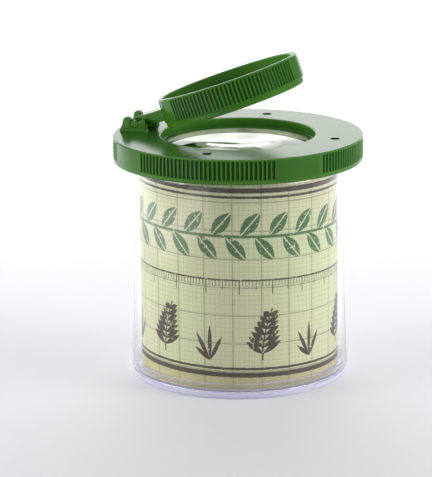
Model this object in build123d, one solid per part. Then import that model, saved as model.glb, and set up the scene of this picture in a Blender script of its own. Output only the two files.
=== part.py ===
# Bug catcher jar: a clear flared jar with a rolled paper label inside, closed by a green
# screw lid that holds a fixed lens and carries a second lens in a flip-up loupe.
# Millimetres, +Z up, origin at the centre of the underside. The loupe's hinge is at -X.
import os
from math import cos, radians, sin, sqrt

from build123d import *

# Jar base: a clear floor with a foot ring below and a spigot that plugs the wall's lower end
foot_radius = 32.3
foot_width = 1.8
foot_bulge_out = 0.75  # share of the step from the foot out to the flange
foot_bulge_up = 1 / 3  # share of the flange's height
flange_height = 2.0
floor_raise = 1.0
floor_thickness = 1.4
spigot_height = 2.6
spigot_wall = 1.2
spigot_clearance = 0.05

# Jar wall: a thin tube that flares towards the base, with a stepped-out threaded rim
jar_bottom_radius = 33.1
jar_top_radius = 31.05
jar_wall_thickness = 0.75
body_height = 64.6
shoulder_reach = 4.15
shoulder_thickness = 1.0
shoulder_round = 2.2
rim_thickness = 1.0
rim_height = 4.9

# Label: a paper sheet rolled into an open tube inside the wall
label_thickness = 0.25
label_wall_gap = 0.05
label_floor_gap = 0.1
label_top_drop = 0.3
label_slit = 0.4
label_lap = 6.0
label_slit_angle = 107.0

# Screw closure: short thread leads outside the rim and lugs inside the lid's skirt
thread_starts = 4
thread_lead = 12.0
thread_height = 0.85
thread_root_width = 1.2
thread_tip_width = 0.7
thread_clearance = 0.3
thread_sink = 0.35
rim_lead_sweep = 55.0
lid_lug_sweep = 30.0
lid_lug_start = 12.0
rim_lead_low = 1.6
lid_seat_gap = 0.1

# Lid
lid_height = 7.55
lid_plate = 1.8
lid_edge_round = 0.45
skirt_thickness = 1.65
grip_patches = 4
grip_patch_sweep = 66.4
grip_patch_turn = 1.2
grip_ribs_per_patch = 33
grip_groove_depth = 0.45
grip_bead_height = 1.35
grip_top_margin = 0.55
vent_radius = 1.45
vent_circle_radius = 30.5
vent_angles = (-90, 0, 90)

# Grip grooves, as shares of one rib's pitch, and how far a cut runs past what it opens
groove_flank = 0.2
groove_floor = 0.36
cut_margin = 1.0

# Lid lens seat
recess_radius = 23.45
recess_depth = 2.65
recess_chamfer = 0.55
ledge_width = 2.05
ledge_thickness = 0.8
housing_wall = 1.5
lens_seat_clearance = 0.15
lens_flange_thickness = 1.6
lens_dome_gap = 0.15
lens_face_drop = 0.1
lens_top_curve = 180.0
lens_bottom_curve = 95.0
retainer_height = 0.9
retainer_width = 0.8
retainer_gap = 0.1
housing_overhang = 0.15

# Loupe hinge: stub pins on the loupe's arm snap into open-topped ears on the lid
pin_reach = 31.4
pin_rise = 2.3
pin_radius = 1.2
pin_clearance = 0.05
pin_end_gap = 0.1
slot_mouth = 2.0
arm_width = 7.6
arm_side_clearance = 0.25
arm_lid_gap = 0.3
knuckle_radius = 1.6
ear_thickness = 2.0
ear_heel = 4.5
ear_toe = 3.8
ear_hump_rise = 2.1
ear_toe_rise = 1.5
ear_heel_lean = 0.9
ear_toe_round = 0.5

# Loupe
loupe_tilt = 19.3
loupe_radius = 22.25
loupe_height = 9.05
loupe_nest = 1.6
loupe_wall = 1.6
loupe_arm_root = 0.8
loupe_lip_round = 0.45
loupe_groove_depth = 0.35
loupe_rib_count = 36
loupe_rib_from = 53.5
loupe_rib_to = 169.0
loupe_rib_margin = 0.2
loupe_rib_top_margin = 0.1
collar_height = 1.8
collar_setback = 0.3
collar_round = 0.5
loupe_ledge_width = 1.65
loupe_ledge_thickness = 0.8
loupe_lens_flange = 1.4
loupe_lens_lift = 1.1
loupe_lens_curve = 80.0

# Heights and radii that follow from the driving dimensions
floor_top = floor_raise + floor_thickness
spigot_top = flange_height + spigot_height
shoulder_under = flange_height + body_height
shoulder_top = shoulder_under + shoulder_thickness
rim_top = shoulder_top + rim_height
rim_radius = jar_top_radius + shoulder_reach
lid_under = rim_top + lid_seat_gap
lid_top = lid_under + lid_plate
lid_bottom = lid_top - lid_height
skirt_bore = rim_radius + thread_height + thread_clearance
lid_radius = skirt_bore + skirt_thickness
ledge_top = lid_top - recess_depth
ledge_under = ledge_top - ledge_thickness
lens_under = ledge_under - lens_flange_thickness
retainer_top = lens_under - retainer_gap
housing_bottom = retainer_top - retainer_height - housing_overhang
aperture_radius = recess_radius - ledge_width
pin_height = lid_top + pin_rise
loupe_floor = lid_top - loupe_nest
loupe_bore = loupe_radius - loupe_wall
loupe_aperture = loupe_bore - loupe_ledge_width
loupe_lens_under = loupe_floor + collar_height + loupe_lens_lift
loupe_ledge_under = loupe_lens_under + loupe_lens_flange
collar_radius = loupe_radius - collar_setback


def disc(radius, low, high):
    """A plain cylinder on the jar's axis between two heights."""
    return Pos(0, 0, (low + high) / 2) * Cylinder(radius, high - low)


def ring(outer, inner, low, high):
    """A plain round tube between two heights."""
    return disc(outer, low, high) - disc(inner, low, high)


def turned(outline):
    """A round piece turned from a closed outline of (radius, height) edges."""
    return revolve(Plane.XZ * make_face(outline), Axis.Z)


def corner_inset(round_radius):
    """How far the middle of a quarter round lies inside the sharp corner, along each side."""
    return round_radius * (1 - sqrt(0.5))


def wall_radius(height):
    """Outer radius of the flared wall at a height."""
    share = (height - flange_height) / body_height
    return jar_bottom_radius + share * (jar_top_radius - jar_bottom_radius)


def spigot_outer():
    """Outer radius of the base's spigot, which clears the wall at its own top."""
    return wall_radius(spigot_top) - jar_wall_thickness - spigot_clearance


def make_jar_base():
    """The floor, its foot ring and the spigot inside the wall's lower end."""
    spigot_radius = spigot_outer()
    side_bulge = foot_radius + foot_bulge_out * (jar_bottom_radius - foot_radius)
    points = [
        (0, floor_raise),
        (foot_radius - foot_width, floor_raise),
        (foot_radius - foot_width, 0),
        (foot_radius, 0),
    ]
    upper = [
        (jar_bottom_radius, flange_height),
        (spigot_radius, flange_height),
        (spigot_radius, spigot_top),
        (spigot_radius - spigot_wall, spigot_top),
        (spigot_radius - spigot_wall, floor_top),
        (0, floor_top),
        (0, floor_raise),
    ]
    foot_side = ThreePointArc(points[-1], (side_bulge, flange_height * foot_bulge_up), upper[0])
    return turned([Polyline(*points), foot_side, Polyline(*upper)])


def thread_run(root, tip, low, start, sweep_angle):
    """A helical ridge from the root radius to the tip radius, centred on a height at its start."""
    out = 1 if tip > root else -1
    path = Helix(thread_lead, thread_lead * sweep_angle / 360, root, (0, 0, low))
    section_plane = Plane(path @ 0, x_dir=(out, 0, 0), z_dir=path % 0)
    section = section_plane * Polygon(
        (-thread_sink, -thread_root_width / 2),
        (abs(tip - root), -thread_tip_width / 2),
        (abs(tip - root), thread_tip_width / 2),
        (-thread_sink, thread_root_width / 2),
        align=None,
    )
    return Rot(0, 0, start) * sweep(section, path, is_frenet=True)


def thread_ring(root, tip, low, start, sweep_angle):
    """The same run once for each thread start."""
    step = 360 / thread_starts
    return [thread_run(root, tip, low, start + step * k, sweep_angle) for k in range(thread_starts)]


def make_jar_wall():
    """The flared tube, its shoulder and the rim with the outer thread leads."""
    round_low = shoulder_under - shoulder_round
    bend = corner_inset(shoulder_round)
    inner_bottom = jar_bottom_radius - jar_wall_thickness
    inner_top = jar_top_radius - jar_wall_thickness
    outside = [
        (inner_bottom, flange_height),
        (jar_bottom_radius, flange_height),
        (wall_radius(round_low), round_low),
    ]
    above = [
        (jar_top_radius + shoulder_round, shoulder_under),
        (rim_radius, shoulder_under),
        (rim_radius, rim_top),
        (rim_radius - rim_thickness, rim_top),
        (rim_radius - rim_thickness, shoulder_top),
        (inner_top, shoulder_top),
        (inner_bottom, flange_height),
    ]
    shoulder = ThreePointArc(outside[-1], (jar_top_radius + bend, shoulder_under - bend), above[0])
    wall = turned([Polyline(*outside), shoulder, Polyline(*above)])
    lead_low = shoulder_top + rim_lead_low
    return wall + thread_ring(rim_radius, rim_radius + thread_height, lead_low, 0, rim_lead_sweep)


def make_label_sleeve():
    """The rolled paper sheet, as wide as the narrower of the wall's top and the spigot lets it be."""
    bore = min(jar_top_radius - jar_wall_thickness, spigot_outer() - spigot_wall)
    outer = bore - label_wall_gap
    inner = outer - label_thickness
    low = floor_top + label_floor_gap
    high = shoulder_top - label_top_drop
    seam = Pos(outer, 0, (low + high) / 2)
    slit = seam * Box(outer, label_slit, high - low)
    lap = ring(inner, inner - label_thickness, low, high) & seam * Box(outer, label_lap, high - low)
    sleeve = ring(outer, inner, low, high) - slit + lap
    return Rot(0, 0, label_slit_angle) * sleeve


def ribbed_face(crest, depth, patches):
    """A round face whose edge has grooves in each (start, end, ribs) patch, in degrees."""

    def at(radius, angle):
        return (radius * cos(radians(angle)), radius * sin(radians(angle)))

    edges = []
    for index, (start, end, ribs) in enumerate(patches):
        pitch = (end - start) / ribs
        points = [at(crest, start)]
        for rib in range(ribs):
            low = start + rib * pitch
            points.append(at(crest - depth, low + pitch * groove_flank))
            points.append(at(crest - depth, low + pitch * (groove_flank + groove_floor)))
            points.append(at(crest, low + pitch * (2 * groove_flank + groove_floor)))
            points.append(at(crest, low + pitch))
        edges.append(Polyline(*points))
        after = patches[(index + 1) % len(patches)][0]
        after += 360 if after < end else 0
        edges.append(ThreePointArc(at(crest, end), at(crest, (end + after) / 2), at(crest, after)))
    return make_face(edges)


def hinge_ear():
    """One ear's side view, as a face in XZ about the pin's axis."""
    mouth = slot_mouth / 2
    lip = sqrt((pin_radius + pin_clearance) ** 2 - mouth**2)
    foot = -pin_rise - lid_plate / 2
    hump_from = (ear_heel_lean - ear_heel, lip)
    hump_to = (-mouth, lip)
    hump_top = ((hump_from[0] + hump_to[0]) / 2, ear_hump_rise)
    side = Polyline((-mouth, foot), (-ear_heel, foot), (-ear_heel, -pin_rise), hump_from)
    hump = ThreePointArc(hump_from, hump_top, hump_to)
    toe = Polyline(
        hump_to,
        (mouth, lip),
        (ear_toe - ear_toe_round, ear_toe_rise),
        (ear_toe, ear_toe_rise - ear_toe_round),
        (ear_toe, foot),
        (-mouth, foot),
    )
    ear = make_face([side, hump, toe])
    slot = Circle(pin_radius + pin_clearance)
    return ear - slot


def make_lid():
    """Top plate, gripped skirt, lens seat, hinge ears and the lugs inside the skirt."""
    bend = corner_inset(lid_edge_round)
    edge_from = (lid_radius, lid_top - lid_edge_round)
    edge_to = (lid_radius - lid_edge_round, lid_top)
    rib_low = lid_bottom + grip_bead_height
    rib_high = lid_top - grip_top_margin
    before = [
        (skirt_bore, lid_under),
        (skirt_bore, rib_high),
        (lid_radius, rib_high),
        edge_from,
    ]
    after = [
        edge_to,
        (recess_radius + recess_chamfer, lid_top),
        (recess_radius, lid_top - recess_chamfer),
        (recess_radius, ledge_top),
        (aperture_radius, ledge_top),
        (aperture_radius, ledge_under),
        (recess_radius, ledge_under),
        (recess_radius, housing_bottom),
        (recess_radius + housing_wall, housing_bottom),
        (recess_radius + housing_wall, lid_under),
        (skirt_bore, lid_under),
    ]
    edge = ThreePointArc(edge_from, (lid_radius - bend, lid_top - bend), edge_to)
    lid = turned([Polyline(*before), edge, Polyline(*after)])
    patches = []
    for patch in range(grip_patches):
        start = patch * 360 / grip_patches + grip_patch_turn - grip_patch_sweep / 2
        patches.append((start, start + grip_patch_sweep, grip_ribs_per_patch))
    grip = ribbed_face(lid_radius, grip_groove_depth, patches) - Circle(skirt_bore)
    band = Pos(0, 0, rib_low) * extrude(grip, rib_high - rib_low)
    bead = ring(lid_radius, skirt_bore, lid_bottom, rib_low)
    ear_inner = arm_width / 2 + arm_side_clearance
    side_view = Plane((-pin_reach, 0, pin_height), x_dir=(1, 0, 0), z_dir=(0, -1, 0))
    ear = extrude(side_view * hinge_ear(), ear_thickness)
    ears = [Pos(0, -ear_inner, 0) * ear, Pos(0, ear_inner + ear_thickness, 0) * ear]
    lug_drop = thread_lead / thread_starts / 2
    lug_low = shoulder_top + rim_lead_low - lug_drop + thread_lead * lid_lug_start / 360
    lugs = thread_ring(skirt_bore, skirt_bore - thread_height, lug_low, lid_lug_start, lid_lug_sweep)
    vent = Pos(vent_circle_radius, 0, 0) * disc(vent_radius, lid_under - cut_margin, lid_top + cut_margin)
    vents = [Rot(0, 0, angle) * vent for angle in vent_angles]
    return lid - vents + [band, bead, *ears, *lugs]


def lens_shape(edge_radius, dome_radius, low, thickness, face_rise, upper_curve, lower_curve):
    """A lens with a flat rim, a dome below it and a dome on a raised face above it."""
    high = low + thickness
    face = high + face_rise

    def dome(curve, base, side):
        rise = curve - sqrt(curve**2 - dome_radius**2)
        half = dome_radius / 2
        middle = rise - (curve - sqrt(curve**2 - half**2))
        return ThreePointArc((dome_radius, base), (half, base + side * middle), (0, base + side * rise))

    top = dome(upper_curve, face, 1)
    bottom = dome(lower_curve, low, -1)
    rim = Polyline(
        (dome_radius, face),
        (dome_radius, high),
        (edge_radius, high),
        (edge_radius, low),
        (dome_radius, low),
    )
    axis = Line(bottom @ 1, top @ 1)
    return turned([top, rim, bottom, axis])


def make_lid_lens():
    """The fixed lens under the lid's ledge."""
    return lens_shape(
        recess_radius - lens_seat_clearance,
        aperture_radius - lens_dome_gap,
        lens_under,
        lens_flange_thickness,
        ledge_thickness - lens_face_drop,
        lens_top_curve,
        lens_bottom_curve,
    )


def make_lid_lens_retainer():
    """The ring that holds the fixed lens up against its ledge."""
    outer = recess_radius - lens_seat_clearance
    return ring(outer, outer - retainer_width, retainer_top - retainer_height, retainer_top)


def make_loupe_ring():
    """The ribbed loupe body with its lens ledge, arm and stub pins, closed flat over the lid."""
    low = loupe_floor + collar_height
    high = loupe_floor + loupe_height
    rib_low = low + loupe_rib_margin
    rib_high = high - loupe_lip_round - loupe_rib_top_margin
    ledge_over = loupe_ledge_under + loupe_ledge_thickness
    bend = corner_inset(loupe_lip_round)
    lip_from = (loupe_radius, high - loupe_lip_round)
    lip_to = (loupe_radius - loupe_lip_round, high)
    lip = ThreePointArc(lip_from, (loupe_radius - bend, high - bend), lip_to)
    before = [
        (loupe_bore, rib_high),
        (loupe_radius, rib_high),
        lip_from,
    ]
    after = [lip_to, (loupe_bore, high), (loupe_bore, rib_high)]
    body = turned([Polyline(*before), lip, Polyline(*after)])
    patches = [
        (180 + loupe_rib_from - 360, 180 + loupe_rib_to - 360, loupe_rib_count),
        (180 - loupe_rib_to, 180 - loupe_rib_from, loupe_rib_count),
    ]
    grip = ribbed_face(loupe_radius, loupe_groove_depth, patches) - Circle(loupe_bore)
    band = Pos(0, 0, rib_low) * extrude(grip, rib_high - rib_low)
    foot = ring(loupe_radius, loupe_bore, low, rib_low)
    ledge = ring(loupe_bore + loupe_arm_root, loupe_aperture, loupe_ledge_under, ledge_over)

    arm_high = pin_height + knuckle_radius
    arm_low = max(lid_top + arm_lid_gap, low)
    arm_end = -(loupe_bore + loupe_arm_root)
    arm = Box(arm_end + pin_reach, arm_width, arm_high - arm_low, align=(Align.MIN, Align.CENTER, Align.MIN))
    arm = Pos(-pin_reach, 0, arm_low) * arm
    knuckle = Pos(-pin_reach, 0, pin_height) * Rot(90, 0, 0) * Cylinder(knuckle_radius, arm_width)
    pin_length = arm_width + 2 * (arm_side_clearance + ear_thickness - pin_end_gap)
    pins = Pos(-pin_reach, 0, pin_height) * Rot(90, 0, 0) * Cylinder(pin_radius, pin_length)
    return body + [band, foot, ledge, arm, knuckle, pins]


def make_loupe_retainer():
    """The smooth collar under the loupe body, with a plug inside that holds the loupe's lens up."""
    low = loupe_floor
    high = loupe_floor + collar_height
    seat = loupe_lens_under
    plug = loupe_bore - lens_seat_clearance
    bend = corner_inset(collar_round)
    corner_from = (collar_radius - collar_round, low)
    corner_to = (collar_radius, low + collar_round)
    corner = ThreePointArc(corner_from, (collar_radius - bend, low + bend), corner_to)
    points = [
        corner_to,
        (collar_radius, high),
        (plug, high),
        (plug, seat),
        (loupe_aperture, seat),
        (loupe_aperture, low),
        corner_from,
    ]
    return turned([corner, Polyline(*points)])


def make_loupe_lens():
    """The loupe's lens, between the collar and the ledge above it."""
    return lens_shape(
        loupe_bore - lens_seat_clearance,
        loupe_aperture - lens_dome_gap,
        loupe_lens_under,
        loupe_lens_flange,
        loupe_ledge_thickness - lens_face_drop,
        loupe_lens_curve,
        loupe_lens_curve,
    )


def raised(piece):
    """Swing a closed loupe piece up about the hinge pin to the tilt that it rests at."""
    pin = Axis((-pin_reach, 0, pin_height), (0, -1, 0))
    return piece.rotate(pin, loupe_tilt)


pieces = {
    "jar_base": make_jar_base(),
    "jar_wall": make_jar_wall(),
    "label_sleeve": make_label_sleeve(),
    "lid": make_lid(),
    "lid_lens": make_lid_lens(),
    "lid_lens_retainer": make_lid_lens_retainer(),
    "loupe_ring": raised(make_loupe_ring()),
    "loupe_lens": raised(make_loupe_lens()),
    "loupe_retainer": raised(make_loupe_retainer()),
}

os.makedirs("parts", exist_ok=True)
for name, piece in pieces.items():
    export_step(piece, f"parts/{name}.step")
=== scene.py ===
# %% [markdown]
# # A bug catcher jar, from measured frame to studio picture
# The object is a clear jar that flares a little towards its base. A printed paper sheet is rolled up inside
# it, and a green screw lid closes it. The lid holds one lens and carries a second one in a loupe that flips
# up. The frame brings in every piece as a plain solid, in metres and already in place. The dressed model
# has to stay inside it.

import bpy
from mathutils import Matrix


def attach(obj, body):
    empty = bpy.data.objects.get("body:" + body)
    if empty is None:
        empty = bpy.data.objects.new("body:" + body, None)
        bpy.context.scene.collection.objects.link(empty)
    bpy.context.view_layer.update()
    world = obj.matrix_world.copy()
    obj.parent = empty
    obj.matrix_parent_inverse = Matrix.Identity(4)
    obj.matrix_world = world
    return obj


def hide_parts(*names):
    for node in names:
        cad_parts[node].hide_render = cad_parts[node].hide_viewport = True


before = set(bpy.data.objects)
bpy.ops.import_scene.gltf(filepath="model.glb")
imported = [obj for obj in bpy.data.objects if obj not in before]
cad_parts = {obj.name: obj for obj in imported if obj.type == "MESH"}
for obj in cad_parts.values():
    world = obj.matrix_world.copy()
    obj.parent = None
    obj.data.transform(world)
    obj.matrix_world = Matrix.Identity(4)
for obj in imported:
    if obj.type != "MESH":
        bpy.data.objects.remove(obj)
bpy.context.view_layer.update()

# %% Tools and units
import math

import bmesh
import bpy
from mathutils import Matrix, Vector

mm = 0.001

# %% [markdown]
# ## A lathe for moulded rounds
# Nearly everything here is round about one axis: jar, lid, lenses and rings. Blender's Screw modifier could
# spin a profile, but a small lathe of our own also lets the radius change on the way round, which the
# finger grips need. A profile is a list of corners. Each has a radius and a height, a rounding that softens
# it as a mould does, and a grip that says how deep the grooves bite there. Lengths are in millimetres.

# %% Soften the corners of a profile
def corner(radius, height, rounding=0.0, grip=0.0):
    """One corner of a profile."""
    return radius, height, rounding, grip


def soften(corners, steps=5):
    """Points of a closed outline, with each corner that asks for it rounded by a small arc."""
    points = []
    for k, (x, z, rounding, grip) in enumerate(corners):
        here = Vector((x, z))
        if not rounding:
            points.append((x, z, grip))
            continue
        before = (Vector(corners[k - 1][:2]) - here).normalized()
        after = (Vector(corners[(k + 1) % len(corners)][:2]) - here).normalized()
        half = before.angle(after) / 2
        centre = here + (before + after).normalized() * (rounding / math.sin(half))
        start = here + before * (rounding / math.tan(half)) - centre
        end = here + after * (rounding / math.tan(half)) - centre
        first = math.atan2(start.y, start.x)
        swing = (math.atan2(end.y, end.x) - first + math.pi) % (2 * math.pi) - math.pi
        for step in range(steps + 1):
            angle = first + swing * step / steps
            arc_x = centre.x + rounding * math.cos(angle)
            arc_z = centre.y + rounding * math.sin(angle)
            points.append((arc_x, arc_z, grip))
    return points


# %% Carry a profile round the axis
def even_columns(count):
    """Columns at even angles in degrees, with no groove."""
    return [(360 * k / count, 0.0) for k in range(count)]


plain_columns = even_columns(256)


def lathe(outline, columns=plain_columns, whole=True):
    """Points and faces of a round piece. A column is an angle in degrees and the groove depth there."""
    points = []
    rows = []
    poles = {}
    for angle, depth in columns:
        turn = math.radians(angle)
        row = []
        for k, (radius, height, grip) in enumerate(outline):
            if radius == 0 and k in poles:
                row.append(poles[k])
                continue
            if radius == 0:
                poles[k] = len(points)
            reach = radius - grip * depth
            row.append(len(points))
            points.append((reach * math.cos(turn), reach * math.sin(turn), height))
        rows.append(row)
    faces = []
    for c in range(len(rows) if whole else len(rows) - 1):
        here = rows[c]
        there = rows[(c + 1) % len(rows)]
        for k in range(len(outline)):
            n = (k + 1) % len(outline)
            face = list(dict.fromkeys((here[k], there[k], there[n], here[n])))
            if len(face) > 2:
                faces.append(face)
    if not whole:
        faces += [rows[0], rows[-1][::-1]]
    return points, faces


# %% Turn points and faces into a piece of the object
def solid_mesh(name, shape):
    """A closed mesh from points in millimetres, with its faces turned outwards."""
    points, faces = shape
    mesh = bpy.data.meshes.new(name)
    mesh.from_pydata([(x * mm, y * mm, z * mm) for x, y, z in points], [], faces)
    work = bmesh.new()
    work.from_mesh(mesh)
    bmesh.ops.recalc_face_normals(work, faces=work.faces)
    work.to_mesh(mesh)
    work.free()
    return mesh


def add_piece(name, shape, body, nodes=()):
    """A mesh object that rides on a body and stands for the nodes named."""
    piece = bpy.data.objects.new(name, solid_mesh(name, shape))
    bpy.context.scene.collection.objects.link(piece)
    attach(piece, body)
    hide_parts(*nodes)
    return piece


def polish(piece, sharp_angle=40):
    """Smooth shading that stops at sharp edges, with flat faces left flat."""
    piece.data.shade_smooth()
    piece.data.set_sharp_from_angle(angle=math.radians(sharp_angle))
    piece.modifiers.new("flat_faces_rule", "WEIGHTED_NORMAL").keep_sharp = True
    print(piece.name, len(piece.data.vertices), "points")
    return piece


# %% [markdown]
# ## The clear base
# The jar's floor is a clear plate on a narrow foot ring, with a short spigot that plugs the wall's lower
# end. It is drawn as half a cross-section, from the axis out and back again. Its free edges are softened,
# because in clear plastic it is the rounded edges that catch the light and draw the object.

# %% Clear base
foot_radius = 32.3
foot_bore = 30.5
foot_round = 0.45
hollow_round = 0.3
flare_radius = 32.95
flare_height = 0.9
flare_round = 0.8
flange_radius = 33.1
flange_height = 2.0
flange_round = 0.2
floor_low = 1.0
floor_high = 2.4
floor_round = 0.4
spigot_radius = 32.2
spigot_bore = 31.0
spigot_top = 4.6
spigot_round = 0.25

base_outline = soften([
    corner(0, floor_low),
    corner(foot_bore, floor_low, hollow_round),
    corner(foot_bore, 0, hollow_round),
    corner(foot_radius, 0, foot_round),
    corner(flare_radius, flare_height, flare_round),
    corner(flange_radius, flange_height, flange_round),
    corner(spigot_radius, flange_height),
    corner(spigot_radius, spigot_top, spigot_round),
    corner(spigot_bore, spigot_top, spigot_round),
    corner(spigot_bore, floor_high, floor_round),
    corner(0, floor_high),
])
clear_base = polish(add_piece("clear_base", lathe(base_outline), "jar", ["jar_base"]))

# %% [markdown]
# ## The clear wall and its thread
# The wall is thinner than a millimetre and leans outwards to the base. At the top it steps out through a
# generous round to a rim that hides inside the lid's skirt. Four short thread leads climb that rim: each is
# a small section swept up a helix, then joined to the rim with a Boolean so that the clear plastic
# stays one skin, since a buried surface would show in it.

# %% A helical ridge
quarter_turns = [90 * k for k in range(4)]
thread_lead = 12.0
ridge_root_half = 0.6
ridge_tip_half = 0.35
ridge_sink = 0.35
fade_rate = 8
fade_least = 0.05


def helix_ridge(root, tip, height, start, sweep, steps=24):
    """A ridge from one radius to another that climbs with the thread and fades out at both ends."""
    points = []
    for k in range(steps + 1):
        share = k / steps
        angle = math.radians(start + sweep * share)
        rise = height + thread_lead * sweep * share / 360
        fade = min(1, fade_rate * share + fade_least, fade_rate * (1 - share) + fade_least)
        crest = root + (tip - root) * fade
        foot = root - (tip - root) * ridge_sink
        section = [(foot, -ridge_root_half), (crest, -ridge_tip_half)]
        section += [(crest, ridge_tip_half), (foot, ridge_root_half)]
        for radius, offset in section:
            points.append((radius * math.cos(angle), radius * math.sin(angle), rise + offset))
    faces = [(0, 1, 2, 3), tuple(4 * steps + k for k in (3, 2, 1, 0))]
    for k in range(steps):
        for side in range(4):
            near = 4 * k + side
            far = 4 * k + (side + 1) % 4
            faces.append((near, far, far + 4, near + 4))
    return points, faces


# %% Join shapes and carve with them
def together(shapes):
    """Several shapes' points and faces as one."""
    points = []
    faces = []
    for some_points, some_faces in shapes:
        faces += [tuple(v + len(points) for v in face) for face in some_faces]
        points += some_points
    return points, faces


def carve(piece, tool, operation):
    """Join a tool shape to a piece, or cut it away, and keep the result as the piece's mesh."""
    helper = bpy.data.objects.new("helper", solid_mesh("helper", tool))
    bpy.context.scene.collection.objects.link(helper)
    step = piece.modifiers.new("carve", "BOOLEAN")
    step.object = helper
    step.operation = operation
    step.solver = "EXACT"
    carved = piece.evaluated_get(bpy.context.evaluated_depsgraph_get())
    result = bpy.data.meshes.new_from_object(carved)
    piece.modifiers.remove(step)
    piece.data = result
    bpy.data.objects.remove(helper)


# %% Clear wall
seat_gap = 0.06
wall_foot = flange_height + seat_gap
wall_foot_bore = 32.35
wall_foot_round = 0.15
neck_radius = 31.05
neck_bore = 30.3
neck_bore_round = 0.4
shoulder_low = 66.6
shoulder_high = 67.6
shoulder_round = 2.2
shoulder_step_round = 0.5
rim_radius = 35.2
rim_bore = 34.2
rim_top = 72.5
rim_round = 0.3

wall_outline = soften([
    corner(wall_foot_bore, wall_foot, wall_foot_round),
    corner(flange_radius, wall_foot, wall_foot_round),
    corner(neck_radius, shoulder_low, shoulder_round),
    corner(rim_radius, shoulder_low, rim_round),
    corner(rim_radius, rim_top, rim_round),
    corner(rim_bore, rim_top, rim_round),
    corner(rim_bore, shoulder_high, shoulder_step_round),
    corner(neck_bore, shoulder_high, neck_bore_round),
])
clear_wall = add_piece("clear_wall", lathe(wall_outline), "jar", ["jar_wall"])

# %% Thread leads
lead_radius = 36.05
lead_height = shoulder_high + 1.6
lead_sweep = 55
leads = [helix_ridge(rim_radius, lead_radius, lead_height, turn, lead_sweep) for turn in quarter_turns]
carve(clear_wall, together(leads), "UNION")
polish(clear_wall)

# %% [markdown]
# ## The printed sheet
# The label is a paper sheet, a quarter of a millimetre thick, that springs open against the inside of the
# wall. Its ends overlap at the back, so one end steps inwards by a little more than its own thickness and
# tucks under the other. Real thickness matters, because the sheet is also seen on edge and from inside,
# through the lenses.

# %% Printed sheet
sheet_radius = 30.25
sheet_thickness = 0.25
sheet_bore = sheet_radius - sheet_thickness
sheet_low = 2.5
sheet_high = 67.3
sheet_steps = 240
seam_angle = 107.0
tuck_angle = 6
tuck_depth = 0.27
tuck_ramp = 0.9

sheet_outline = soften([
    corner(sheet_bore, sheet_low, grip=1),
    corner(sheet_radius, sheet_low, grip=1),
    corner(sheet_radius, sheet_high, grip=1),
    corner(sheet_bore, sheet_high, grip=1),
])
roll_start = seam_angle + tuck_ramp
roll_sweep = 360 - tuck_ramp
tucked = [(seam_angle - tuck_angle + k, tuck_depth) for k in range(tuck_angle + 1)]
rolled = [(roll_start + roll_sweep * k / sheet_steps, 0.0) for k in range(sheet_steps + 1)]
sheet_shape = lathe(sheet_outline, tucked + rolled, whole=False)
printed_sheet = polish(add_piece("printed_sheet", sheet_shape, "jar", ["label_sleeve"]))

# %% [markdown]
# ## Finger grips
# The lid has four patches of fine upright ribs and the loupe has two. Each rib gets nine columns of points,
# close together where its flanks turn, so that rib and groove are real, rounded geometry. Between the
# patches the skirt is smooth, and a column for each degree is enough.

# %% Columns for ribbed patches
flank = 0.24
groove = 0.8
rib_phases = (0.0, 0.08, 0.16, 0.24, 0.56, 0.64, 0.72, 0.8, 0.9)


def ease(share):
    """A soft step from 0 to 1."""
    share = min(1, max(0, share))
    return share * share * (3 - 2 * share)


def ribbed_columns(patches, depth):
    """Columns all the way round, for patches of (start, end, ribs) in degrees and in rising order."""
    columns = []
    for k, (start, end, ribs) in enumerate(patches):
        pitch = (end - start) / ribs
        for rib in range(ribs):
            for phase in rib_phases:
                bite = ease(phase / flank) - ease((phase - groove + flank) / flank)
                columns.append((start + (rib + phase) * pitch, depth * bite))
        smooth_end = patches[k + 1][0] if k + 1 < len(patches) else patches[0][0] + 360
        smooth = max(2, round(smooth_end - end))
        columns += [(end + (smooth_end - end) * step / smooth, 0.0) for step in range(smooth)]
    return columns


# %% [markdown]
# ## The lid
# One green moulding makes the skirt, the top, the recess for the lens and the housing below it. The skirt
# ends in a smooth bead under the ribs. The outline runs round the cross-section once; the ribs bite only
# between two heights, and their grooves run out softly at both. The three vent holes are cut afterwards
# with slightly flared cutters, which leaves a fine chamfer, as a worn core pin does.

# %% Lid sizes
lid_radius = 38.0
lid_low = 66.85
lid_top = 74.4
lid_under = 72.6
lid_round = 0.45
skirt_bore = 36.35
skirt_round = 0.25
skirt_root_round = 0.5
bead_height = 1.35
bead_round = 0.4
grip_margin = 0.6
grip_depth = 0.45
grip_run_out = ((-0.1, 0.0), (0.05, 0.75), (0.3, 1.0))
recess_radius = 23.45
recess_round = 0.55
aperture_radius = 21.4
aperture_round = 0.2
ledge_high = 71.75
ledge_low = 70.95
ledge_round = 0.25
ledge_under_round = 0.15
housing_radius = 24.95
housing_low = 68.2
housing_round = 0.25
housing_root_round = 0.4
print("lid", 2 * lid_radius, "mm across and", round(lid_top - lid_low, 2), "mm tall")

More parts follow.
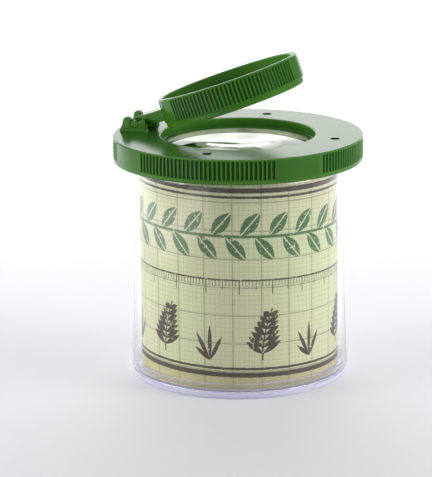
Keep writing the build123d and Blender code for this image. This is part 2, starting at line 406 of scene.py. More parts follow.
# %% Lid moulding
grip_low = lid_low + bead_height
grip_high = lid_top - grip_margin
grip_foot = [corner(lid_radius, grip_low + rise, grip=bite) for rise, bite in grip_run_out]
grip_head = [corner(lid_radius, grip_high - drop, grip=bite) for drop, bite in reversed(grip_run_out)]
lid_outline = soften([
    corner(skirt_bore, lid_low, skirt_round),
    corner(lid_radius, lid_low, bead_round),
    *grip_foot,
    *grip_head,
    corner(lid_radius, lid_top, lid_round),
    corner(recess_radius, lid_top, recess_round),
    corner(recess_radius, ledge_high, ledge_round),
    corner(aperture_radius, ledge_high, aperture_round),
    corner(aperture_radius, ledge_low, ledge_under_round),
    corner(recess_radius, ledge_low),
    corner(recess_radius, housing_low, housing_round),
    corner(housing_radius, housing_low, housing_round),
    corner(housing_radius, lid_under, housing_root_round),
    corner(skirt_bore, lid_under, skirt_root_round),
])
patch_start = -32.0
patch_end = 34.4
patch_ribs = 33
lid_patches = [(turn + patch_start, turn + patch_end, patch_ribs) for turn in quarter_turns]
lid_shape = lathe(lid_outline, ribbed_columns(lid_patches, grip_depth))
lid_moulding = add_piece("lid_moulding", lid_shape, "lid", ["lid"])

# %% Vent holes
vent_radius = 1.45
vent_flare = 0.2
vent_mouth_radius = vent_radius + vent_flare
vent_circle = 30.5
vent_angles = (-90, 0, 90)
cutter_low = lid_under - 1
cutter_high = lid_top + 0.25
chamfer_low = lid_top - 0.1

vent_outline = soften([
    corner(0, cutter_low),
    corner(vent_radius, cutter_low),
    corner(vent_radius, chamfer_low),
    corner(vent_mouth_radius, cutter_high),
    corner(0, cutter_high),
])
vent_points, vent_faces = lathe(vent_outline, even_columns(36))
vents = []
vent_mouths = []
for angle in vent_angles:
    dx = vent_circle * math.cos(math.radians(angle))
    dy = vent_circle * math.sin(math.radians(angle))
    vents.append(([(x + dx, y + dy, z) for x, y, z in vent_points], vent_faces))
    vent_mouths.append(Vector((dx, dy, lid_top)))
carve(lid_moulding, together(vents), "DIFFERENCE")
polish(lid_moulding)

# %% Thread lugs
lug_radius = 35.5
lug_height = 68.1
lug_start = 12
lug_sweep = 30
lug_starts = [lug_start + turn for turn in quarter_turns]
lugs = [helix_ridge(skirt_bore, lug_radius, lug_height, start, lug_sweep) for start in lug_starts]
lid_lugs = polish(add_piece("lid_lugs", together(lugs), "lid"))

# %% [markdown]
# ## Hinge ears
# Two ears stand on the lid's top and hold the loupe's stub pins in open slots, so that the loupe can be
# snapped in and out. Each ear has a rounded hump behind the slot and a lower toe in front of it. It is
# drawn as a side view and given thickness, and a Bevel modifier breaks its edges. A low plinth runs along
# its foot.

# %% A plate from a side view
def plate(side_view, low_y, high_y):
    """A plate with the given (x, z) outline between two places along Y."""
    count = len(side_view)
    points = [(x, low_y, z) for x, z in side_view] + [(x, high_y, z) for x, z in side_view]
    faces = [tuple(range(count)), tuple(range(2 * count - 1, count - 1, -1))]
    for k in range(count):
        n = (k + 1) % count
        faces.append((k, n, n + count, k + count))
    return points, faces


def arc(centre_x, centre_z, radius, first, last, steps):
    """Points of an arc in a side view, in degrees from +X towards +Z."""
    angles = [math.radians(first + (last - first) * k / steps) for k in range(steps + 1)]
    return [(centre_x + radius * math.cos(a), centre_z + radius * math.sin(a)) for a in angles]


def break_edges(piece, width, segments=3, sharp_angle=35):
    """Round the sharp edges of a piece."""
    bevel = piece.modifiers.new("broken_edges", "BEVEL")
    bevel.width = width * mm
    bevel.segments = segments
    bevel.limit_method = "ANGLE"
    bevel.angle_limit = math.radians(sharp_angle)
    bevel.use_clamp_overlap = True
    return polish(piece)


# %% Side view of an ear and its plinth
pin_x = -31.4
pin_z = 76.7
pin_radius = 1.2
slot_radius = 1.25
slot_edge = 143
hump_x = pin_x - 2.3
hump_z = pin_z + 0.8
hump_round = 1.3
ear_foot = lid_top - 0.6
ear_heel = pin_x - 4.5
heel_high = lid_top + 0.2
ear_toe = pin_x + 3.8
toe_high = pin_z + 1.5
toe_slope = 0.5
plinth_toe = ear_toe + 0.3
plinth_top = lid_top + 0.75

ear_view = [(ear_heel, ear_foot), (ear_heel, heel_high)]
ear_view += arc(hump_x, hump_z, hump_round, first=185, last=5, steps=14)
ear_view += arc(pin_x, pin_z, slot_radius, first=slot_edge, last=540 - slot_edge, steps=20)
ear_view += [(ear_toe - toe_slope, toe_high), (ear_toe, toe_high - toe_slope), (ear_toe, ear_foot)]
plinth_view = [(ear_heel, ear_foot), (ear_heel, plinth_top)]
plinth_view += [(plinth_toe, plinth_top), (plinth_toe, ear_foot)]
print("an ear's side view has", len(ear_view), "points")

# %% The two ears
ear_inner = 4.05
ear_outer = 6.05
ear_bevel = 0.22
plinth_inner = ear_inner + 0.1
plinth_outer = ear_outer + 0.3
plinth_bevel = 0.2

hinge_ears = []
for name, side in (("near", -1), ("far", 1)):
    low, high = sorted((side * ear_inner, side * ear_outer))
    ear = add_piece(f"hinge_ear_{name}", plate(ear_view, low, high), "lid")
    hinge_ears.append(break_edges(ear, ear_bevel))
    low, high = sorted((side * plinth_inner, side * plinth_outer))
    plinth = add_piece(f"hinge_plinth_{name}", plate(plinth_view, low, high), "lid")
    hinge_ears.append(break_edges(plinth, plinth_bevel))

# %% [markdown]
# ## Lenses and the ring that holds one
# A magnifier lens is two shallow domes on a flat rim. The domes are sampled finely from their true curves,
# because a lens shows every facet in what it bends and reflects. The lid's lens sits under a ledge with its
# face standing up through the opening, and a plain ring from below keeps it there.

# %% Lens shape
lens_clearance = 0.15
lens_edge_round = 0.15
face_rise = 0.7


def lens_outline(rim, dome, low, thickness, upper_curve, lower_curve, steps=40):
    """Half a lens from the axis out over the lower dome, round the rim and back over the raised face."""

    def rise(radius, curve):
        return math.sqrt(curve**2 - radius**2) - math.sqrt(curve**2 - dome**2)

    high = low + thickness
    face = high + face_rise
    radii = [dome * k / steps for k in range(steps + 1)]
    under = [(radius, low - rise(radius, lower_curve), 0) for radius in radii]
    over = [(radius, face + rise(radius, upper_curve), 0) for radius in reversed(radii)]
    edge = soften([
        corner(dome, low),
        corner(rim, low, lens_edge_round),
        corner(rim, high, lens_edge_round),
        corner(dome, high),
    ])
    return under + edge[1:] + over


# %% Lid lens
lid_lens_rim = 23.3
lid_lens_dome = aperture_radius - lens_clearance
lid_lens_low = 69.35
lid_lens_flange = 1.6
lid_lens_half = lens_outline(
    lid_lens_rim, lid_lens_dome, lid_lens_low, lid_lens_flange, upper_curve=180.0, lower_curve=95.0
)
lid_glass = polish(add_piece("lid_glass", lathe(lid_lens_half), "lid", ["lid_lens"]))

# %% Retaining ring
keeper_bore = lid_lens_rim - 0.8
keeper_low = 68.35
keeper_high = 69.25
keeper_round = 0.2
keeper_bore_round = 0.25
keeper_outline = soften([
    corner(keeper_bore, keeper_low, keeper_bore_round),
    corner(lid_lens_rim, keeper_low, keeper_round),
    corner(lid_lens_rim, keeper_high, keeper_round),
    corner(keeper_bore, keeper_high, keeper_bore_round),
])
lens_keeper = add_piece(
    "lens_keeper", lathe(keeper_outline), "lid_carrier", ["lid_lens_retainer"]
)
polish(lens_keeper)

# %% [markdown]
# ## The loupe
# The loupe is a short ribbed tube with a ledge inside for its lens, a flat arm with a round knuckle, and two
# stub pins. It is drawn closed, flat over the lid, where all its heights are plain numbers. One turn
# about the hinge pin then lifts it to the angle that it rests at.

# %% Swing closed pieces up about the pin
loupe_tilt = 19.3


def raise_loupe(piece):
    """Turn a closed loupe piece up about the hinge pin."""
    pin = Vector((pin_x * mm, 0, pin_z * mm))
    swing = Matrix.Rotation(math.radians(loupe_tilt), 4, Vector((0, -1, 0)))
    piece.data.transform(Matrix.Translation(pin) @ swing @ Matrix.Translation(-pin))
    return piece


# %% Loupe sizes
loupe_radius = 22.25
loupe_bore = 20.65
loupe_aperture = 19.0
loupe_floor = 72.8
loupe_low = loupe_floor + 1.8
loupe_high = loupe_floor + 9.045
loupe_round = 0.45
loupe_foot_round = 0.15
loupe_lens_low = loupe_low + 1.1
loupe_lens_flange = 1.4
loupe_ledge_low = loupe_lens_low + loupe_lens_flange
loupe_ledge_high = loupe_ledge_low + 0.8
loupe_ledge_round = 0.25
loupe_ledge_under_round = 0.15
loupe_grip_depth = 0.35
loupe_grip_foot = ((loupe_low + 0.17, 0), (loupe_low + 0.4, 1))
loupe_grip_head = ((loupe_high - 0.75, 1), (loupe_high - 0.5, 0))
print("loupe", 2 * loupe_radius, "mm across and", round(loupe_high - loupe_floor, 2), "mm tall")

# %% Loupe ring
loupe_grip = [corner(loupe_radius, z, grip=bite) for z, bite in loupe_grip_foot + loupe_grip_head]
loupe_outline = soften([
    corner(loupe_bore, loupe_low),
    corner(loupe_radius, loupe_low, loupe_foot_round),
    *loupe_grip,
    corner(loupe_radius, loupe_high, loupe_round),
    corner(loupe_bore, loupe_high, loupe_round),
    corner(loupe_bore, loupe_ledge_high, loupe_ledge_round),
    corner(loupe_aperture, loupe_ledge_high, loupe_ledge_round),
    corner(loupe_aperture, loupe_ledge_low, loupe_ledge_under_round),
    corner(loupe_bore, loupe_ledge_low),
])
loupe_patch_near = 11.0
loupe_patch_far = 126.5
loupe_ribs = 36
loupe_patches = [
    (-loupe_patch_far, -loupe_patch_near, loupe_ribs),
    (loupe_patch_near, loupe_patch_far, loupe_ribs),
]
loupe_shape = lathe(loupe_outline, ribbed_columns(loupe_patches, loupe_grip_depth))
loupe_body = add_piece("loupe_body", loupe_shape, "loupe", ["loupe_ring"])
polish(raise_loupe(loupe_body))

# %% Loupe arm
arm_half = 3.8
arm_root = -21.5
arm_low = lid_top + 0.3
arm_bevel = 0.3
knuckle_radius = 1.6
arm_high = pin_z + knuckle_radius
arm_view = [(pin_x, arm_low), (arm_root, arm_low), (arm_root, arm_high)]
arm_view += arc(pin_x, pin_z, knuckle_radius, first=90, last=262, steps=16)
loupe_arm = add_piece("loupe_arm", plate(arm_view, -arm_half, arm_half), "loupe")
break_edges(raise_loupe(loupe_arm), arm_bevel)

# %% Loupe pins
pin_end = ear_outer - 0.1
pin_bevel = 0.15
pin_view = arc(pin_x, pin_z, pin_radius, first=0, last=345, steps=23)
loupe_pins = add_piece("loupe_pins", plate(pin_view, -pin_end, pin_end), "loupe")
break_edges(raise_loupe(loupe_pins), pin_bevel)

# %% Loupe collar
collar_radius = 21.95
collar_round = 0.5
collar_top_round = 0.12
collar_bore_round = 0.4
plug_radius = loupe_bore - 0.15
plug_round = 0.2
collar_outline = soften([
    corner(loupe_aperture, loupe_floor, collar_bore_round),
    corner(collar_radius, loupe_floor, collar_round),
    corner(collar_radius, loupe_low, collar_top_round),
    corner(plug_radius, loupe_low),
    corner(plug_radius, loupe_lens_low),
    corner(loupe_aperture, loupe_lens_low, plug_round),
])
loupe_collar = add_piece("loupe_collar", lathe(collar_outline), "loupe", ["loupe_retainer"])
polish(raise_loupe(loupe_collar))

# %% Loupe lens
loupe_dome = loupe_aperture - lens_clearance
loupe_lens_half = lens_outline(
    plug_radius, loupe_dome, loupe_lens_low, loupe_lens_flange, upper_curve=80.0, lower_curve=80.0
)
loupe_glass = add_piece("loupe_glass", lathe(loupe_lens_half), "loupe", ["loupe_lens"])
polish(raise_loupe(loupe_glass))

# %% [markdown]
# ## A small kit for finishes
# A finish is a graph of nodes, but it reads better as arithmetic. The class below wraps one socket, so that
# a line such as 1 - mask adds the Math node for us. Everything else comes from one method that makes a node
# of any type, sets it up and plugs its sockets.

# %% A number that changes over a surface
class Shade:
    """One socket of a finish that Python's arithmetic can work on."""

    def __init__(self, finish, socket):
        self.finish = finish
        self.socket = socket

    def math(self, operation, *values):
        """The result of a Math node."""
        return self.finish.node("ShaderNodeMath", {"operation": operation}, dict(enumerate(values)))

    def __add__(self, other):
        return self.math("ADD", self, other)

    def __sub__(self, other):
        return self.math("SUBTRACT", self, other)

    def __rsub__(self, other):
        return self.math("SUBTRACT", other, self)

    def __mul__(self, other):
        return self.math("MULTIPLY", self, other)

    def __truediv__(self, other):
        return self.math("DIVIDE", self, other)

    def __mod__(self, other):
        return self.math("FLOORED_MODULO", self, other)

    def __lt__(self, other):
        return self.math("LESS_THAN", self, other)

    def __gt__(self, other):
        return self.math("GREATER_THAN", self, other)

    def __abs__(self):
        return self.math("ABSOLUTE", self)

    def most(self, other):
        """The larger of two, which also joins two marks."""
        return self.math("MAXIMUM", self, other)

    __radd__ = __add__
    __rmul__ = __mul__


# %% A graph of nodes
class Graph:
    """A node tree that nodes are added to one call at a time."""

    def __init__(self, tree):
        self.tree = tree

    def node(self, kind, settings=None, sockets=None, output=0):
        """Make a node of any type, set it up, plug its sockets and give back one output."""
        made = self.tree.nodes.new(kind)
        for name, value in (settings or {}).items():
            setattr(made, name, value)
        for name, value in (sockets or {}).items():
            self.plug(made.inputs[name], value)
        return Shade(self, made.outputs[output])

    def plug(self, socket, value):
        """Link a socket to another one, or give it a plain value."""
        if isinstance(value, Shade):
            self.tree.links.new(value.socket, socket)
        else:
            socket.default_value = value


# %% A finish
class Finish(Graph):
    """A material built round one Principled shader."""

    def __init__(self, name, constants):
        self.material = bpy.data.materials.new(name)
        self.material.use_nodes = True
        super().__init__(self.material.node_tree)
        self.shader = self.tree.nodes["Principled BSDF"]
        for socket, value in constants.items():
            self.shader.inputs[socket].default_value = value

    def set(self, socket, value):
        """Feed one socket of the shader."""
        self.plug(self.shader.inputs[socket], value)

    def blend(self, share, other):
        """Let a share of another shader into what the finish is so far."""
        surface = self.tree.nodes["Material Output"].inputs["Surface"]
        so_far = Shade(self, surface.links[0].from_socket)
        self.plug(surface, self.node("ShaderNodeMixShader", sockets={0: share, 1: so_far, 2: other}))

    def place(self):
        """The point on the object, in metres, as a vector."""
        return self.node("ShaderNodeTexCoord", output="Object")

    def coordinate(self, vector, axis):
        """One coordinate of a vector."""
        return self.node("ShaderNodeSeparateXYZ", sockets={0: vector}, output=axis)

    def measure(self, operation, *vectors):
        """The number that a vector operation gives, such as a length or a distance."""
        return self.node("ShaderNodeVectorMath", {"operation": operation}, dict(enumerate(vectors)), "Value")

    def step(self, value, start, end, interpolation):
        """From 0 to 1 while a value goes from start to end."""
        sockets = {"Value": value, "From Min": start, "From Max": end}
        return self.node("ShaderNodeMapRange", {"interpolation_type": interpolation}, sockets)

    def cloud(self, size, detail):
        """Soft noise from 0 to 1 with blotches of about the given size in millimetres."""
        sockets = {"Vector": self.place(), "Scale": 1 / (size * mm), "Detail": detail}
        return self.node("ShaderNodeTexNoise", sockets=sockets)

    def mix(self, share, first, second):
        """A colour between two, by a share from 0 to 1."""
        return self.node("ShaderNodeMix", {"data_type": "RGBA"}, {0: share, 6: first, 7: second}, output=2)

    def bump(self, height, strength, depth):
        """A normal from a height that goes from 0 to 1, with its depth in millimetres."""
        sockets = {"Strength": strength, "Distance": depth * mm, "Height": height}
        self.set("Normal", self.node("ShaderNodeBump", sockets=sockets))

    def dress(self, *pieces):
        """Give the finish to pieces."""
        for piece in pieces:
            piece.data.materials.clear()
            piece.data.materials.append(self.material)
        print(self.material.name, len(self.tree.nodes), "nodes on", len(pieces), "pieces")


# %% [markdown]
# ## Green moulded plastic
# The lid and the loupe are glossy polypropylene. The colour is never quite even: the melt leaves soft
# streaks, and a faint mould texture breaks up the gloss. On upright faces the colour carries painted light:
# a painted highlight where a point of the mesh stands out, which Blender calls its pointiness, and painted
# shade where it sinks into a groove. The vents are given painted shade too. A little light also travels
# through thin edges, which a small share of subsurface scattering gives.

# %% Painted highlights on ridges and painted shade in grooves
green = Finish("green_plastic", {
    "IOR": 1.5,
    "Specular IOR Level": 0.3,
    "Subsurface Weight": 0.2,
    "Subsurface Radius": (0.8, 1.3, 0.3),
    "Subsurface Scale": 0.001,
})
groove_shade_pointiness = 0.47
ridge_highlight_pointiness = 0.53
upright_limit = 0.6
melt = green.cloud(size=9.0, detail=3.0)
grain = green.cloud(size=0.35, detail=1.0)
pointiness = green.node("ShaderNodeNewGeometry", output="Pointiness")
stands_out = green.step(pointiness, groove_shade_pointiness, ridge_highlight_pointiness, "LINEAR")
facing = green.node("ShaderNodeTexCoord", output="Normal")
upright = abs(green.coordinate(facing, "Z")) < upright_limit
ridge_light_share = 0.5 + (stands_out - 0.5) * upright
# Painted light: on upright faces, ridges get a lighter, lit green and grooves a darker, shaded green.
shaded_groove_green = green.mix(melt, (0.014, 0.080, 0.005, 1), (0.024, 0.104, 0.008, 1))
lit_ridge_green = green.mix(melt, (0.055, 0.205, 0.017, 1), (0.075, 0.250, 0.024, 1))
green_colour = green.mix(ridge_light_share, shaded_groove_green, lit_ridge_green)
print("green follows pointiness from", groove_shade_pointiness, "to", ridge_highlight_pointiness)

# %% Painted shade in the vents
vent_shade_share = 0.9
vent_shade_colour = (0.003, 0.008, 0.002, 1)
# The vent holes are painted almost black, as painted shade for their depth.
for mouth in vent_mouths:
    in_vent = green.measure("DISTANCE", green.place(), mouth * mm) < vent_mouth_radius * mm
    green_colour = green.mix(in_vent * vent_shade_share, green_colour, vent_shade_colour)
green.set("Base Color", green_colour)
green.set("Roughness", 0.11 + 0.05 * melt + 0.04 * grain)
green.bump(grain, strength=0.05, depth=0.03)
green.dress(
    lid_moulding, lid_lugs, *hinge_ears, lens_keeper, loupe_body, loupe_arm, loupe_pins, loupe_collar
)

# %% [markdown]
# ## Clear plastic and lenses
# The jar is clear polystyrene, real refracting plastic with real thickness. It is not perfect: handling
# leaves a faint haze, so the roughness drifts a little, and the wall is very slightly uneven. The lenses
# are polished and get less haze. Refracting plastic blocks the straight line from a surface to a lamp, so
# shadow rays are let through it, and the sheet inside is lit as it is in a real jar.

# %% Let light in
thin_shadow = (0.94, 0.94, 0.96, 1)
thick_shadow = (0.6, 0.6, 0.63, 1)


def let_light_in(finish, tint):
    """Shadow rays pass straight through a clear finish."""
    shadow = finish.node("ShaderNodeLightPath", output="Is Shadow Ray")
    finish.blend(shadow, finish.node("ShaderNodeBsdfTransparent", sockets={"Color": tint}))


# %% Clear plastic
clear = Finish("clear_plastic", {"Transmission Weight": 1.0, "IOR": 1.5})
haze = clear.cloud(size=14.0, detail=4.0)
clear.set("Base Color", clear.mix(haze, (0.99, 0.99, 1.0, 1), (0.975, 0.977, 0.995, 1)))
clear.set("Roughness", 0.01 + 0.03 * haze)
clear.bump(clear.cloud(size=22.0, detail=1.0), strength=0.15, depth=0.25)
let_light_in(clear, thin_shadow)
clear.dress(clear_wall)

# %% [markdown]
# The base needs its own finish. Its floor and foot are thick, and thick clear plastic gathers light from all
# sides and gives it off at its edges, with a faint violet cast. A share of pale diffuse light stands for
# that below the spigot, and the spigot itself stays as clear as the wall, so the sheet shows through it.

# %% Thick clear plastic of the base
edge_light_top = 2.3
thick = Finish("clear_base", {"Transmission Weight": 1.0, "IOR": 1.5})
flow = thick.cloud(size=3.0, detail=4.0)
thick.set("Base Color", thick.mix(flow, (0.97, 0.97, 1.0, 1), (0.99, 0.99, 1.0, 1)))
thick.set("Roughness", 0.02 + 0.04 * flow)
level = thick.coordinate(thick.place(), "Z")
edge_light = thick.node("ShaderNodeBsdfDiffuse", sockets={"Color": (0.82, 0.81, 1.0, 1)})
thick.blend((0.58 + 0.2 * flow) * (level < edge_light_top * mm), edge_light)
let_light_in(thick, thick_shadow)
thick.dress(clear_base)

# %% Lens plastic
polished = Finish("lens_plastic", {"Transmission Weight": 1.0, "IOR": 1.58})
smear = polished.cloud(size=7.0, detail=5.0)
polished.set("Base Color", polished.mix(smear, (0.99, 0.99, 1.0, 1), (0.97, 0.975, 0.99, 1)))
polished.set("Roughness", 0.004 + 0.02 * smear)
let_light_in(polished, thin_shadow)
polished.dress(lid_glass, loupe_glass)

# %% [markdown]
# ## The print on the sheet
# The sheet is cream graph paper with dark double rules, like a page from a field notebook. The picture is
# worked out from where a point lies: its distance round the sheet and its height, both in millimetres. The
# sheet sits a little askew in the jar, so its height leans with it. Leaves, fern fronds and a ruler stand
# where such a page carries its drawings, and a coarse noise wears the ink away, as cheap printing does.

# %% Where a point lies on the sheet
paper = Finish("printed_paper", {"Specular IOR Level": 0.2})
front_angle = math.radians(-72.55)
sheet_lean = 0.026
print_depth = 0.8 * sheet_thickness
east, north, height = [paper.coordinate(paper.place(), axis) * (1 / mm) for axis in "XYZ"]
toward = east * math.cos(front_angle) + north * math.sin(front_angle)
sideways = north * math.cos(front_angle) - east * math.sin(front_angle)
along = sideways.math("ARCTAN2", sideways, toward) * sheet_radius
up = height + sheet_lean * sideways
from_axis = toward.math("SQRT", toward * toward + sideways * sideways)
outside = from_axis > sheet_radius - print_depth
girth = 2 * math.pi * sheet_radius
print("the sheet is", round(girth, 1), "mm round")

# %% Lines, rules and leaves
worn = paper.cloud(size=0.9, detail=4.0)
faded = paper.cloud(size=5.0, detail=3.0)
rule_wear = 0.5


def rule(centre, width):
    """A level ruled line with a worn edge."""
    return abs(up - centre) + (worn - 0.5) * rule_wear < width / 2


def grid(distance, pitch, width):
    """Lines at every multiple of a pitch."""
    return abs((distance / pitch) % 1 - 0.5) > 0.5 - width / pitch / 2


def leaf(x, y, foot, lean, length, half_width, vein=0.0):
    """A pointed leaf from its foot, leaning by degrees from +X, with a pale vein if it has a width."""
    c = math.cos(math.radians(lean))
    s = math.sin(math.radians(lean))
    out = ((x - foot[0]) * c + (y - foot[1]) * s) / length
    off = abs((y - foot[1]) * c - (x - foot[0]) * s)
    inside = off < out * (1 - out) * (4 * half_width)
    return inside * (off > vein) if vein else inside


# %% Garland
garland_leaves = 22
garland_pitch = girth / garland_leaves
garland_height = 49.6
garland_stem = 0.42
garland_leaf = {"length": 9.2, "half_width": 2.1, "vein": 0.22}
over_stem = up - garland_height
spray = abs(over_stem) < garland_stem
for shift, foot, lean in ((0.0, (0.4, 0.2), 50), (garland_pitch / 2, (0.4, -0.2), -50)):
    past_foot = (along + shift) % garland_pitch
    spray = spray.most(leaf(past_foot, over_stem, foot, lean, **garland_leaf))
print("a garland leaf every", round(garland_pitch, 2), "mm on each side of the stem")

# %% Ruler
ruler_line = 36.3
ruler_line_width = 0.5
tick_top = 36.2
tick_sorts = [
    {"pitch": 1.0, "width": 0.2, "foot": 34.4},
    {"pitch": 5.0, "width": 0.25, "foot": 33.4},
    {"pitch": 10.0, "width": 0.32, "foot": 32.0},
]
ruler = rule(ruler_line, ruler_line_width)
for tick in tick_sorts:
    ticks = grid(along, tick["pitch"], tick["width"]) * (up > tick["foot"]) * (up < tick_top)
    ruler = ruler.most(ticks)
print("ruler line at", ruler_line, "mm")

# %% Fronds
frond_count = 6
frond_pitch = girth / frond_count
frond_shift = 9.0
frond_foot = 11.6
frond_height = 16
frond_stem = 0.24
frond_bend = 0.012
leaflet_count = 7
leaflet_start = 2.0
leaflet_spacing = 1.9
leaflet_lean = 36
leaflet_longest = 6.6
leaflet_shrink = 0.62
leaflet_half_width = 0.85
rise_up = up - frond_foot
bend = rise_up * rise_up * frond_bend
frond_x = (along + frond_shift) % frond_pitch - frond_pitch / 2 - bend
frond = (abs(frond_x) < frond_stem) * (rise_up > 0) * (rise_up < frond_height)
for k in range(leaflet_count):
    foot = (0, leaflet_start + leaflet_spacing * k)
    length = leaflet_longest - leaflet_shrink * k
    frond = frond.most(leaf(abs(frond_x), rise_up, foot, leaflet_lean, length, leaflet_half_width))
print("a frond every", round(frond_pitch, 1), "mm")

# %% Tufts between the fronds
tuft_foot = (0, -0.4)
blade_half_width = 0.62
blade_leans = (64, 90, 117, 140)
blade_lengths = (8.5, 11.0, 9.5, 6.0)
tuft_x = (along + frond_shift + frond_pitch / 2) % frond_pitch - frond_pitch / 2
for lean, length in zip(blade_leans, blade_lengths):
    frond = frond.most(leaf(tuft_x, rise_up, tuft_foot, lean, length, blade_half_width))
print("a tuft of", len(blade_leans), "blades between two fronds")

# %% Where there is ink
small_pitch = 1.44
small_line = 0.24
large_pitch = 6 * small_pitch
large_line = 0.36
large_shift_along = 2.0
large_shift_up = 0.6
thick_rule = 1.5
thin_rule = 0.75
thick_rule_heights = (63.5, 7.0)
thin_rule_heights = (61.45, 8.93)
tan_top = 6.3
wear_limit = 0.36
small_grid = grid(along, small_pitch, small_line).most(grid(up, small_pitch, small_line))
large_along = grid(along + large_shift_along, large_pitch, large_line)
large_up = grid(up + large_shift_up, large_pitch, large_line)
large_grid = large_along.most(large_up)
thick_rules = rule(thick_rule_heights[0], thick_rule).most(rule(thick_rule_heights[1], thick_rule))
thin_rules = rule(thin_rule_heights[0], thin_rule).most(rule(thin_rule_heights[1], thin_rule))
rules = thick_rules.most(thin_rules)
kept_ink = worn > wear_limit
small_ink = small_grid * (0.2 + 0.35 * worn)
large_ink = large_grid * (0.45 + 0.5 * worn)
tan_ink = (up < tan_top) * 0.8
green_ink = spray * kept_ink * 0.95
brown_ink = (frond.most(ruler) * kept_ink).most(rules) * 0.97
print("graph paper of", small_pitch, "and", round(large_pitch, 2), "mm")

# %% Ink on paper
aged = paper.cloud(size=26.0, detail=1.0)
page = paper.mix(faded, (0.71, 0.725, 0.46, 1), (0.61, 0.66, 0.365, 1))
layers = (
    (2.5 * (aged - 0.45), (0.71, 0.645, 0.43, 1)),
    (tan_ink, (0.44, 0.37, 0.15, 1)),
    (small_ink, (0.28, 0.32, 0.15, 1)),
    (large_ink, (0.15, 0.16, 0.08, 1)),
    (green_ink, (0.022, 0.105, 0.026, 1)),
    (brown_ink, (0.026, 0.015, 0.005, 1)),
)
for share, colour in layers:
    page = paper.mix(share, page, colour)
page = paper.mix(outside, (0.85, 0.87, 0.90, 1), page)
print("the page has", len(layers), "layers")

# %% Paper that lets some light through
light_share = 0.55
fibre = paper.cloud(size=0.25, detail=2.0)
paper.set("Base Color", page)
paper.set("Roughness", 0.7 + 0.2 * fibre)
paper.bump(fibre, strength=0.1, depth=0.03)
shine_through = paper.node("ShaderNodeBsdfTranslucent", sockets={"Color": (0.86, 0.86, 0.70, 1)})
ink = green_ink.most(brown_ink).most(0.7 * tan_ink).most(small_ink).most(large_ink)
paper.blend(light_share * (1 - ink), shine_through)
paper.dress(printed_sheet)

# %% [markdown]
# ## Floor and world
# The jar stands on a pale sweep. Clear plastic is drawn by what surrounds it, so the world is plain white
# where the camera meets it, straight or through clear plastic, and dim where it lights surfaces or shows in
# gloss. The floor is made alike: it glows a little to the camera, more at the back and far off, and keeps
# the shadow. Its back and a strip on the left are brighter in gloss alone, as white cards there would be.
# The camera faces the front of the sheet, and back, left and right are meant as the camera sees them.

# %% Floor
floor_half = 4.0
floor_corners = [(x * floor_half, y * floor_half, 0) for x, y in ((-1, -1), (1, -1), (1, 1), (-1, 1))]
floor_mesh = bpy.data.meshes.new("studio_floor")
floor_mesh.from_pydata(floor_corners, [], [(0, 1, 2, 3)])
studio_floor = bpy.data.objects.new("studio_floor", floor_mesh)
bpy.context.scene.collection.objects.link(studio_floor)
print("floor", 2 * floor_half, "m wide")

# %% Parts of the floor
view_azimuth = front_angle + math.pi / 2
away = Vector((-math.sin(view_azimuth), math.cos(view_azimuth), 0))
right_of_view = Vector((math.cos(view_azimuth), math.sin(view_azimuth), 0))
back_reach = (-0.12, 0.34)
card_near_edge = (0.17, 0.25)
card_far_edge = (0.29, 0.34)
far_reach = (0.45, 1.1)
sweep = Finish("studio_floor", {"Roughness": 0.6, "Specular IOR Level": 0.2, "Emission Strength": 1.0})
spot = sweep.place()
to_back = sweep.measure("DOT_PRODUCT", spot, away)
to_left = sweep.measure("DOT_PRODUCT", spot, -right_of_view)
far_off = sweep.measure("LENGTH", spot)
back_share = sweep.step(to_back, *back_reach, "SMOOTHSTEP")
card_start = sweep.step(to_left, *card_near_edge, "SMOOTHSTEP")
card_end = sweep.step(to_left, *card_far_edge, "SMOOTHSTEP")
card_share = card_start * (1 - card_end)
far_share = sweep.step(far_off, *far_reach, "SMOOTHSTEP")
print("away from the camera is", [round(v, 3) for v in away])

# %% Floor finish
even_glow = 0.23
back_glow = 0.22
far_glow = 0.45
back_mirror_glow = 0.6
dust = sweep.cloud(size=40.0, detail=3.0)
sweep.set("Base Color", sweep.mix(dust, (0.56, 0.555, 0.57, 1), (0.58, 0.575, 0.59, 1)))
seen_straight = sweep.node("ShaderNodeLightPath", output="Is Camera Ray")
seen_through = sweep.node("ShaderNodeLightPath", output="Is Transmission Ray")
mirrored = sweep.node("ShaderNodeLightPath", output="Is Glossy Ray")
seen_glow = even_glow + back_glow * back_share + far_glow * far_share
mirrored_glow = (back_mirror_glow * back_share).most(card_share)
glow = seen_glow * seen_straight.most(seen_through) + mirrored_glow * mirrored
sweep.set("Emission Color", sweep.mix(glow, (0, 0, 0, 1), (0.99, 0.985, 1.0, 1)))
sweep.dress(studio_floor)

# %% World
dim_light = 0.2
world = bpy.data.worlds.new("white_room")
bpy.context.scene.world = world
world.use_nodes = True
room = Graph(world.node_tree)
room_light = room.tree.nodes["Background"]
room_light.inputs["Color"].default_value = (0.98, 0.98, 1.0, 1)
before_surfaces = room.node("ShaderNodeLightPath", output="Diffuse Depth") < 0.5
not_in_gloss = 1 - room.node("ShaderNodeLightPath", output="Is Glossy Ray")
room.plug(room_light.inputs["Strength"], dim_light + (1 - dim_light) * (before_surfaces * not_in_gloss))
print("world:", world.name)

# %% [markdown]
# ## Lamps
# A weak panel above and a stronger one behind give the soft studio light, and the one behind is also the
# sheen on the lid's top. Two low panels at the sides reach the sheet under the lid's overhang. A cool strip
# close to the floor shines through the paper from behind, so the lens looks onto a bright inside. These low
# ones are kept out of gloss, where they would show as hard bars. One more panel shows in gloss and clear
# plastic only.

# %% A soft panel
jar_middle = Vector((0, 0, 0.05))


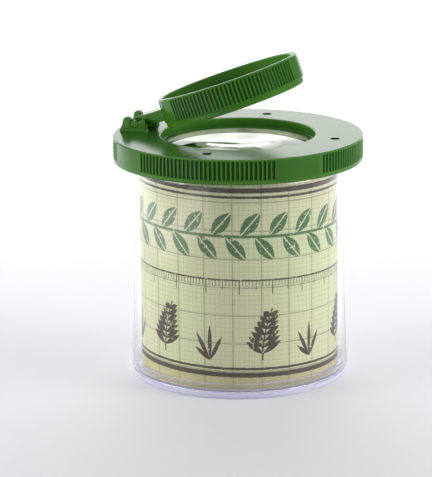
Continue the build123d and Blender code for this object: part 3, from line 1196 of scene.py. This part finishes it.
def panel(name, back, right, high, size, watts):
    """A rectangular lamp that faces the jar, from a place in metres as seen in the picture."""
    light = bpy.data.lights.new(name, "AREA")
    light.shape = "RECTANGLE"
    light.size, light.size_y = size
    light.energy = watts
    lamp = bpy.data.objects.new(name, light)
    lamp.location = right * right_of_view + back * away + Vector((0, 0, high))
    lamp.rotation_euler = (jar_middle - lamp.location).to_track_quat("-Z", "Y").to_euler()
    bpy.context.scene.collection.objects.link(lamp)
    print(name, "at", [round(v, 2) for v in lamp.location])
    return lamp


# %% Lamps
panel("top_panel", back=0.1, right=0, high=1.1, size=(0.9, 0.9), watts=0.8)
panel("back_panel", back=1.3, right=0, high=0.5, size=(1.8, 0.8), watts=7.3)
edge_panel = panel("edge_panel", back=0.05, right=0, high=1.0, size=(1.8, 1.8), watts=20)
right_panel = panel("right_panel", back=-0.3, right=0.95, high=0.26, size=(0.6, 0.5), watts=8.5)
left_panel = panel("left_panel", back=-0.2, right=-0.95, high=0.26, size=(0.6, 0.5), watts=7)
rear_panel = panel("rear_panel", back=1.0, right=0, high=0.13, size=(1.2, 0.2), watts=21)
edge_panel.visible_diffuse = False
rear_panel.visible_transmission = False
rear_panel.data.color = (0.84, 0.90, 1.0)
for lamp in (right_panel, left_panel, rear_panel):
    lamp.visible_glossy = False

# %% [markdown]
# ## Camera
# The picture was taken with a long lens from a little above the lid. Its place and angles were worked out
# from the lid's rim, the opening, the rules and the base line. A focal length in pixels becomes a lens in
# millimetres when it is divided by the picture's longer side and multiplied by the sensor's width.

# %% Camera
stand_off = 0.77316
eye_height = 0.2372
yaw = -0.00906
pitch = 0.24793
roll = -0.0105
picture_height = 477
focal_pixels = 2600
sensor_width = 36.0
farthest_view = 50

forward = Vector((math.sin(yaw) * math.cos(pitch), math.cos(yaw) * math.cos(pitch), -math.sin(pitch)))
right = Vector((math.cos(yaw), -math.sin(yaw), 0))
above = right.cross(forward)
tilted_right = right * math.cos(roll) + above * math.sin(roll)
tilted_above = above * math.cos(roll) - right * math.sin(roll)
attitude = Matrix((tilted_right, tilted_above, -forward)).transposed().to_4x4()
attitude.translation = Vector((0, -stand_off, eye_height))

camera_data = bpy.data.cameras.new("photo_camera")
camera_data.sensor_width = sensor_width
camera_data.lens = focal_pixels / picture_height * sensor_width
camera_data.clip_end = farthest_view
photo_camera = bpy.data.objects.new("photo_camera", camera_data)
bpy.context.scene.collection.objects.link(photo_camera)
photo_camera.matrix_world = Matrix.Rotation(view_azimuth, 4, "Z") @ attitude
bpy.context.scene.camera = photo_camera
bpy.context.scene.view_settings.view_transform = "Standard"
print("lens", round(camera_data.lens, 1), "mm")
